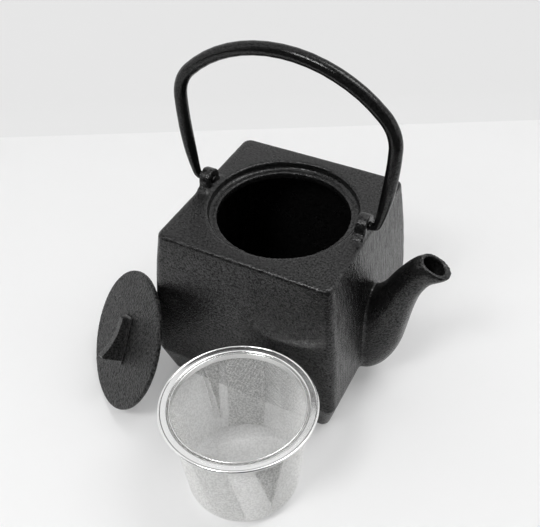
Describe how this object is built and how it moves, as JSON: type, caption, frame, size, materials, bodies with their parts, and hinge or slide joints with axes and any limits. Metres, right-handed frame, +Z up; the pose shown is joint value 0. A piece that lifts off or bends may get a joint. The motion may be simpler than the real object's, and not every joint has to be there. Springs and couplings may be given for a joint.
{
  "type": "teapot",
  "caption": "Square cast-iron teapot with a swing bail handle, a spout, a drop-in lid with a fin-shaped knob and a lift-out fine mesh infuser with a wide steel rim.",
  "frame": {"origin": "middle of the pot's flat base, where it stands", "axes": "+X along the spout, +Z up out of the filling mouth, +Y to the pot's far side"},
  "size_m": [0.1908, 0.1883, 0.1948],
  "materials": {
    "pot_iron": "satin black enamel on cast iron",
    "handle_iron": "satin black",
    "lid_iron": "fine pebbled satin black",
    "rim_steel": "bright polished",
    "mesh_steel": "fine woven wire"
  },
  "bodies": {
    "pot": {"pot_body": "pot_iron"},
    "bail": {"bail_handle": "handle_iron"},
    "lid": {"lid": "lid_iron", "lid_knob": "lid_iron"},
    "infuser": {"infuser_rim": "rim_steel", "infuser_clamp_ring": "rim_steel", "infuser_mesh": "mesh_steel"}
  },
  "joints": [
    {"name": "bail_swing", "type": "hinge", "parent": "pot", "child": "bail", "pos_m": [0, 0, 0.107], "axis": [1, 0, 0], "range_deg": [-115, 115]},
    {"name": "lid_lift", "type": "slide", "parent": "pot", "child": "lid", "axis": [0, 0, 1], "range_m": [0, 0.12]},
    {"name": "infuser_lift", "type": "slide", "parent": "pot", "child": "infuser", "axis": [0, 0, 1], "range_m": [0, 0.12]}
  ]
}
